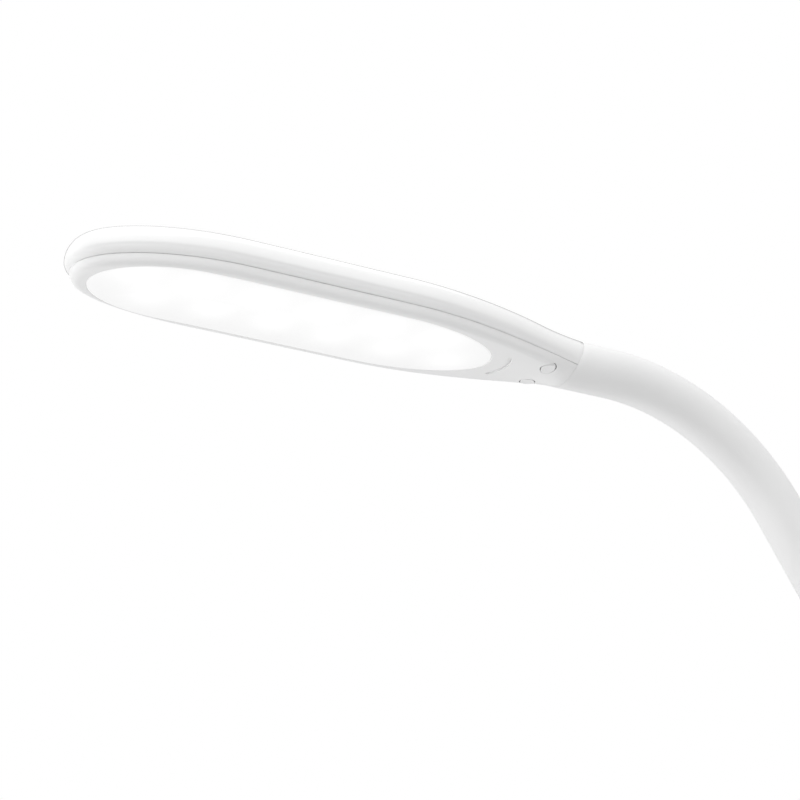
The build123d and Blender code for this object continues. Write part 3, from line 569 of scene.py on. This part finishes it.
def make_sleeve(index):
    """The sleeve from the middle of one neck body to the middle of the next, across their joint."""
    start = index * JOINT_PITCH
    end = start + JOINT_PITCH
    if index == 0:
        start = NECK_FOOT
    steps = 20
    stations = [(start + (end - start) * i / steps, NECK_RADIUS) for i in range(steps + 1)]
    if index == NECK_JOINTS - 1:
        rim = SEAM_ROUND
        last = end - 0.01
        stations[-1] = (last - rim, NECK_RADIUS)
        stations += [(last - rim * 0.3, NECK_RADIUS - rim * 0.3), (last, NECK_RADIUS - rim)]
    outside = [tube_ring(s, radius) for s, radius in stations]
    inside = [tube_ring(s, NECK_BORE) for s, radius in reversed(stations)]
    bm = bmesh.new()
    add_grid(bm, [inside[-1]] + outside + inside, close_rows=True)
    sleeve = finish_mesh(f"sleeve_{index}", bm)
    joint_s = (index + 0.5) * JOINT_PITCH
    before = neck_place(joint_s - BEND_REACH)[0]
    after = neck_place(joint_s + BEND_REACH)[0]
    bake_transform(sleeve)
    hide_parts(f"neck_sleeve_{index}")
    if index == NECK_JOINTS - 1:
        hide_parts(f"neck_sleeve_{NECK_JOINTS}")
    return sleeve


# ---------------------------------------------------------------- clip
def make_spring():
    """The torsion spring in round wire."""
    low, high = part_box("torsion_spring")
    wire = SPRING_WIRE * MM
    radius = SPRING_RADIUS * MM
    half = (high.y - low.y) / 2 - wire
    arm_end_x = high.x - wire
    points = [Vector((arm_end_x, half, high.z - wire))]
    steps_per_turn = 20
    steps = SPRING_TURNS * steps_per_turn
    for i in range(steps + 1):
        angle = 2 * pi * i / steps_per_turn
        y = half * (1 - 2 * i / steps)
        points.append(Vector((HINGE.x + radius * cos(angle), y, HINGE.z - radius * sin(angle))))
    points.append(Vector((arm_end_x, -half, low.z + wire)))
    curve = bpy.data.curves.new("spring_path", "CURVE")
    curve.dimensions = "3D"
    spline = curve.splines.new("POLY")
    spline.points.add(len(points) - 1)
    for target, point in zip(spline.points, points):
        target.co = (*point, 1)
    curve.bevel_depth = wire
    curve.bevel_resolution = 5
    curve.use_fill_caps = True
    holder = bpy.data.objects.new("spring_path", curve)
    bpy.context.scene.collection.objects.link(holder)
    graph = bpy.context.evaluated_depsgraph_get()
    mesh = bpy.data.meshes.new_from_object(holder.evaluated_get(graph))
    bpy.data.objects.remove(holder)
    bm = bmesh.new()
    bm.from_mesh(mesh)
    spring = finish_mesh("spring_wire", bm, sharp_angle=50)
    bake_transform(spring)
    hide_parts("torsion_spring")
    return spring


# ---------------------------------------------------------------- materials
def new_material(name, colour, roughness, metallic=0.0, specular=0.5):
    material = bpy.data.materials.new(name)
    material.use_nodes = True
    nodes = material.node_tree.nodes
    shader = nodes["Principled BSDF"]
    shader.inputs["Base Color"].default_value = (*colour, 1)
    shader.inputs["Roughness"].default_value = roughness
    shader.inputs["Metallic"].default_value = metallic
    shader.inputs["Specular IOR Level"].default_value = specular
    return material, nodes, material.node_tree.links, shader


def object_noise(nodes, links, scale, detail=3.0):
    where = nodes.new("ShaderNodeTexCoord")
    noise = nodes.new("ShaderNodeTexNoise")
    noise.inputs["Scale"].default_value = scale
    noise.inputs["Detail"].default_value = detail
    links.new(where.outputs["Object"], noise.inputs["Vector"])
    return noise.outputs["Fac"]


def spread(nodes, links, source, low, high):
    """Maps a noise to a range about its middle."""
    mapping = nodes.new("ShaderNodeMapRange")
    mapping.inputs["From Min"].default_value = NOISE_RANGE[0]
    mapping.inputs["From Max"].default_value = NOISE_RANGE[1]
    mapping.inputs["To Min"].default_value = low
    mapping.inputs["To Max"].default_value = high
    links.new(source, mapping.inputs["Value"])
    return mapping.outputs["Result"]


def tint_noise(nodes, links, shader, colour, amount, scale):
    """Slow, faint variation of the colour, as moulding and handling give."""
    ramp = nodes.new("ShaderNodeValToRGB")
    for end, share, position in zip(ramp.color_ramp.elements, (1 - amount, 1 + amount), NOISE_RANGE):
        end.position = position
        end.color = (*[min(c * share, 1) for c in colour], 1)
    links.new(object_noise(nodes, links, scale), ramp.inputs["Fac"])
    links.new(ramp.outputs["Color"], shader.inputs["Base Color"])


def add_bump(nodes, links, shader, height, strength, depth):
    """Fine relief from a texture, its depth in metres."""
    bump = nodes.new("ShaderNodeBump")
    bump.inputs["Strength"].default_value = strength
    bump.inputs["Distance"].default_value = depth
    links.new(height, bump.inputs["Height"])
    links.new(bump.outputs["Normal"], shader.inputs["Normal"])
    return bump


def plastic(name, colour, roughness, grain_scale, grain_depth, coat=0.0, edge_round=0.0):
    """Moulded plastic: faint mottling, uneven gloss, a grain of the stated scale and softened edges."""
    material, nodes, links, shader = new_material(name, colour, roughness)
    tint_noise(nodes, links, shader, colour, 0.012, 14)
    gloss = spread(nodes, links, object_noise(nodes, links, 60), roughness * 0.88, roughness * 1.12)
    links.new(gloss, shader.inputs["Roughness"])
    grain = object_noise(nodes, links, grain_scale, 2.0)
    bump = add_bump(nodes, links, shader, grain, 0.5, grain_depth)
    if edge_round:
        softened = nodes.new("ShaderNodeBevel")
        softened.samples = 6
        softened.inputs["Radius"].default_value = edge_round * MM
        links.new(softened.outputs["Normal"], bump.inputs["Normal"])
    shader.inputs["Specular IOR Level"].default_value = 0.5 + 0.5 * coat
    shader.inputs["Coat Weight"].default_value = coat
    shader.inputs["Coat Roughness"].default_value = 0.08
    return material


def silicone(name, colour, roughness):
    """Soft-touch skin: matt, with a fine pebble and a faint sheen."""
    material, nodes, links, shader = new_material(name, colour, roughness, specular=0.35)
    tint_noise(nodes, links, shader, colour, 0.015, 22)
    pebble = nodes.new("ShaderNodeTexVoronoi")
    pebble.inputs["Scale"].default_value = 2600
    where = nodes.new("ShaderNodeTexCoord")
    links.new(where.outputs["Object"], pebble.inputs["Vector"])
    add_bump(nodes, links, shader, pebble.outputs["Distance"], 0.35, 0.00003)
    shader.inputs["Sheen Weight"].default_value = 0.12
    shader.inputs["Sheen Roughness"].default_value = 0.4
    return material


def metal(name, colour, roughness, stretch):
    """Steel or brass, with fine marks drawn out along one direction."""
    material, nodes, links, shader = new_material(name, colour, roughness, metallic=1.0)
    where = nodes.new("ShaderNodeTexCoord")
    mapping = nodes.new("ShaderNodeMapping")
    mapping.inputs["Scale"].default_value = stretch
    noise = nodes.new("ShaderNodeTexNoise")
    noise.inputs["Scale"].default_value = 900
    links.new(where.outputs["Object"], mapping.inputs["Vector"])
    links.new(mapping.outputs["Vector"], noise.inputs["Vector"])
    uneven = spread(nodes, links, noise.outputs["Fac"], roughness * 0.7, roughness * 1.4)
    links.new(uneven, shader.inputs["Roughness"])
    tint_noise(nodes, links, shader, colour, 0.06, 120)
    add_bump(nodes, links, shader, noise.outputs["Fac"], 0.2, 0.00002)
    return material


def coiled_steel():
    """The gooseneck's close-wound coil, as a fine wave square to its run."""
    material, nodes, links, shader = new_material("coiled_steel", (0.55, 0.55, 0.56), 0.35, metallic=1.0)
    where = nodes.new("ShaderNodeTexCoord")
    wave = nodes.new("ShaderNodeTexWave")
    wave.bands_direction = "Z"
    wave.inputs["Scale"].default_value = 160
    links.new(where.outputs["Object"], wave.inputs["Vector"])
    add_bump(nodes, links, shader, wave.outputs["Fac"], 0.8, 0.0004)
    tint_noise(nodes, links, shader, (0.55, 0.55, 0.56), 0.08, 90)
    return material


def led_spots():
    """Where each light source is, in the frame's metres, as (x, y)."""
    spots = []
    for row, y in enumerate((-LED_ROW_Y, LED_ROW_Y)):
        first = LED_FIRST_X + row * LED_PITCH / 2
        for column in range(LED_COLUMNS):
            spots.append((TIP_X + (first + column * LED_PITCH) * MM, y * MM))
    return spots


def math_node(nodes, links, operation, *values):
    """A maths node's result. Each value is a number or another node's output."""
    node = nodes.new("ShaderNodeMath")
    node.operation = operation
    for socket, value in zip(node.inputs, values):
        if isinstance(value, (int, float)):
            socket.default_value = value
        else:
            links.new(value, socket)
    return node.outputs["Value"]


def lit_diffuser():
    """Frosted panel with a soft bright patch at each light source, a little dimmer towards its +Y side."""
    material, nodes, links, shader = new_material("lit_diffuser", (0.5, 0.5, 0.5), 0.4)
    where = nodes.new("ShaderNodeTexCoord")
    split = nodes.new("ShaderNodeSeparateXYZ")
    links.new(where.outputs["Object"], split.inputs["Vector"])
    total = None
    spot_radius = GLOW_RADIUS * MM
    for x, y in led_spots():
        dx = math_node(nodes, links, "SUBTRACT", split.outputs["X"], x)
        dy = math_node(nodes, links, "SUBTRACT", split.outputs["Y"], y + GLOW_SHIFT * MM)
        dx_square = math_node(nodes, links, "MULTIPLY", dx, dx)
        dy_square = math_node(nodes, links, "MULTIPLY", dy, dy)
        square = math_node(nodes, links, "ADD", dx_square, dy_square)
        fall = math_node(nodes, links, "MULTIPLY", square, -1 / (2 * spot_radius ** 2))
        glow = math_node(nodes, links, "EXPONENT", fall)
        total = glow if total is None else math_node(nodes, links, "ADD", total, glow)
    across = nodes.new("ShaderNodeMapRange")
    across.inputs["From Min"].default_value = -GLOW_REACH * MM
    across.inputs["From Max"].default_value = GLOW_REACH * MM
    across.inputs["To Min"].default_value = GLOW_NEAR
    across.inputs["To Max"].default_value = GLOW_FAR
    links.new(split.outputs["Y"], across.inputs["Value"])
    patches = math_node(nodes, links, "MULTIPLY", total, GLOW_SPOT)
    strength = math_node(nodes, links, "ADD", patches, across.outputs["Result"])
    shader.inputs["Emission Color"].default_value = (1.0, 1.0, 1.0, 1)
    links.new(strength, shader.inputs["Emission Strength"])
    gloss = spread(nodes, links, object_noise(nodes, links, 80), 0.36, 0.44)
    links.new(gloss, shader.inputs["Roughness"])
    add_bump(nodes, links, shader, object_noise(nodes, links, 2500, 1.0), 0.3, 0.00002)
    return material


def led_material():
    """Warm phosphor that glows a little unevenly."""
    material, nodes, links, shader = new_material("led_phosphor", (0.95, 0.85, 0.45), 0.35)
    shader.inputs["Emission Color"].default_value = (1.0, 0.95, 0.85, 1)
    shimmer = spread(nodes, links, object_noise(nodes, links, 900), 2.5, 3.5)
    links.new(shimmer, shader.inputs["Emission Strength"])
    tint_noise(nodes, links, shader, (0.95, 0.85, 0.45), 0.05, 500)
    return material


def make_materials():
    along_x = (0.05, 1, 1)
    return {
        "cover_white": plastic("gloss_white_plastic", (0.9, 0.9, 0.9), 0.16, 900, 0.000004, coat=0.7),
        "satin_white": plastic("satin_white_plastic", (0.86, 0.86, 0.86), 0.42, 2400, 0.00002),
        "clip_white": plastic("clip_plastic", (0.86, 0.86, 0.86), 0.42, 2400, 0.00002, edge_round=0.6),
        "button_white": plastic("button_plastic", (0.84, 0.84, 0.84), 0.38, 2400, 0.00001),
        "silicone_white": silicone("white_silicone", (0.83, 0.83, 0.83), 0.55),
        "pad_grey": silicone("grey_rubber", (0.42, 0.43, 0.44), 0.75),
        "diffuser": lit_diffuser(),
        "reflector_white": plastic("reflector_film", (0.93, 0.93, 0.93), 0.35, 1500, 0.00001),
        "board_aluminium": plastic("white_solder_mask", (0.85, 0.86, 0.86), 0.3, 1200, 0.00001, coat=0.3),
        "led_amber": led_material(),
        "board_green": plastic("green_solder_mask", (0.03, 0.16, 0.08), 0.3, 1200, 0.00002, coat=0.3),
        "switch_black": plastic("black_nylon", (0.03, 0.03, 0.03), 0.5, 2400, 0.00002),
        "lead_insulation": plastic("red_insulation", (0.55, 0.03, 0.02), 0.4, 1500, 0.00001),
        "steel": metal("spring_steel", (0.6, 0.6, 0.61), 0.28, along_x),
        "zinc_steel": metal("zinc_plate", (0.72, 0.72, 0.74), 0.32, along_x),
        "jack_black": plastic("socket_nylon", (0.02, 0.02, 0.02), 0.4, 2400, 0.00002),
        "contact_brass": metal("nickel_brass", (0.78, 0.72, 0.55), 0.25, along_x),
    }


def paint(thing, material):
    thing.data.materials.clear()
    thing.data.materials.append(material)


def paint_cad_nodes(materials):
    """Each CAD node takes its slot's material. The gooseneck and the clip have their own."""
    coil = coiled_steel()
    for part in frame["record"]["subparts"]:
        node = part["node"]
        material = materials[part["material_slot"]]
        if node.startswith("neck_core"):
            material = coil
        elif node.startswith("clip_"):
            material = materials["clip_white"]
        target = frame["nodes"][node]
        if not target.data.materials:
            target.data.materials.append(material)
        for slot in target.material_slots:
            slot.material = material


# ---------------------------------------------------------------- stage, light and camera
def make_floor():
    """A pale floor, wide enough to reach past every view."""
    z = cad_box[0].z - FLOOR_CLEARANCE * MM
    steps = 24
    lines = [FLOOR_REACH * (2 * i / steps - 1) for i in range(steps + 1)]
    bm = bmesh.new()
    add_grid(bm, [[Vector((x, y, z)) for y in lines] for x in lines])
    floor = finish_mesh("floor", bm)
    colour = (0.76, 0.76, 0.76)
    material, nodes, links, shader = new_material("floor_paint", colour, 0.7, specular=0.2)
    tint_noise(nodes, links, shader, colour, 0.01, 3)
    paint(floor, material)


def flag(nodes, links, direction, aim, edge, core):
    """How far a direction lies inside a dark flag: 0 outside its edge and 1 in its core."""
    dot = nodes.new("ShaderNodeVectorMath")
    dot.operation = "DOT_PRODUCT"
    dot.inputs[1].default_value = Vector(aim).normalized()
    links.new(direction, dot.inputs[0])
    inside = nodes.new("ShaderNodeMapRange")
    inside.interpolation_type = "SMOOTHSTEP"
    inside.inputs["From Min"].default_value = edge
    inside.inputs["From Max"].default_value = core
    links.new(dot.outputs["Value"], inside.inputs["Value"])
    return inside.outputs["Result"]


def make_world():
    """White to the camera. As light, a bright dome with dark flags low in front of the lamp and behind it."""
    world = bpy.data.worlds.new("studio")
    bpy.context.scene.world = world
    world.use_nodes = True
    nodes, links = world.node_tree.nodes, world.node_tree.links
    nodes.clear()
    output = nodes.new("ShaderNodeOutputWorld")
    mix = nodes.new("ShaderNodeMixShader")
    rays = nodes.new("ShaderNodeLightPath")
    seen = nodes.new("ShaderNodeBackground")
    seen.inputs["Color"].default_value = (1, 1, 1, 1)
    light = nodes.new("ShaderNodeBackground")
    light.inputs["Color"].default_value = (1, 1, 1, 1)
    where = nodes.new("ShaderNodeTexCoord")
    direction = where.outputs["Generated"]
    in_front = flag(nodes, links, direction, FRONT_FLAG, *FRONT_EDGE)
    low_down = flag(nodes, links, direction, (0, 0, -1), -FLAG_TOP, -FLAG_TOP / 4)
    front = math_node(nodes, links, "MULTIPLY", in_front, low_down)
    behind = flag(nodes, links, direction, BACK_FLAG, *BACK_EDGE)
    kept_front = math_node(nodes, links, "MULTIPLY_ADD", front, -FRONT_DARKNESS, 1.0)
    kept_behind = math_node(nodes, links, "MULTIPLY_ADD", behind, -BACK_DARKNESS, 1.0)
    kept = math_node(nodes, links, "MULTIPLY", kept_front, kept_behind)
    level = math_node(nodes, links, "MULTIPLY", kept, DOME_LEVEL)
    links.new(level, light.inputs["Strength"])
    links.new(rays.outputs["Is Camera Ray"], mix.inputs["Fac"])
    links.new(light.outputs["Background"], mix.inputs[1])
    links.new(seen.outputs["Background"], mix.inputs[2])
    links.new(mix.outputs["Shader"], output.inputs["Surface"])


def add_softbox(name, location, target, size, power):
    """A rectangular light that faces its target."""
    light = bpy.data.lights.new(name, "AREA")
    light.shape = "RECTANGLE"
    light.size, light.size_y = size
    light.energy = power
    holder = bpy.data.objects.new(name, light)
    bpy.context.scene.collection.objects.link(holder)
    holder.location = location
    holder.rotation_mode = "QUATERNION"
    holder.rotation_quaternion = (target - location).to_track_quat("-Z", "Y")
    holder.visible_camera = False
    return holder


def make_lights():
    head_middle = Vector((TIP_X + HEAD_LENGTH / 2 * MM, 0, PARTING_Z))
    key = add_softbox("key_softbox", head_middle + KEY_PLACE, head_middle, KEY_SIZE, KEY_POWER)
    add_softbox("top_softbox", head_middle + TOP_PLACE, head_middle, TOP_SIZE, TOP_POWER)
    left = add_softbox("left_softbox", head_middle + LEFT_PLACE, head_middle, LEFT_SIZE, LEFT_POWER)
    left.data.spread = LEFT_SPREAD
    for light in (key, left):
        light.visible_glossy = False


def make_camera():
    """Looks up at the head from below and in front of it, the tip at the left of the picture."""
    azimuth, elevation = radians(VIEW_AZIMUTH), radians(VIEW_ELEVATION)
    forward = Vector((-sin(azimuth) * cos(elevation), cos(azimuth) * cos(elevation), -sin(elevation)))
    right = Vector((cos(azimuth), sin(azimuth), 0))
    up = right.cross(forward)
    tip = Vector((TIP_X, 0, PARTING_Z))
    place = tip + (right * AIM_RIGHT + up * AIM_UP - forward * VIEW_DISTANCE) * MM
    camera = bpy.data.cameras.new("camera")
    camera.sensor_width = 36
    camera.lens = camera.sensor_width * VIEW_DISTANCE / FRAME_WIDTH
    camera.clip_start = 0.01
    camera.clip_end = 50
    holder = bpy.data.objects.new("camera", camera)
    bpy.context.scene.collection.objects.link(holder)
    axes = Matrix((right, up, -forward)).transposed()
    holder.matrix_world = Matrix.Translation(place) @ axes.to_4x4()
    bpy.context.scene.camera = holder


# ---------------------------------------------------------------- build
def build_head(materials):
    for maker, node, slot in (
        (make_cover, "head_cover", "cover_white"),
        (make_bezel, "head_bezel", "satin_white"),
        (make_diffuser, "diffuser", "diffuser"),
    ):
        piece = maker()
        paint(piece, materials[slot])
        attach(piece, "head")
        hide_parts(node)
    for node in ("power_button", "dimmer_button"):
        cap = make_button(node)
        paint(cap, materials["button_white"])
        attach(cap, node)
        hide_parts(node)


def build_neck_and_spring(materials):
    for index in range(NECK_JOINTS):
        sleeve = make_sleeve(index)
        paint(sleeve, materials["silicone_white"])
    spring = make_spring()
    paint(spring, materials["steel"])


bpy.context.scene.view_settings.view_transform = "Standard"
materials = make_materials()
paint_cad_nodes(materials)
build_head(materials)
build_neck_and_spring(materials)
make_floor()
make_world()
make_lights()
make_camera()
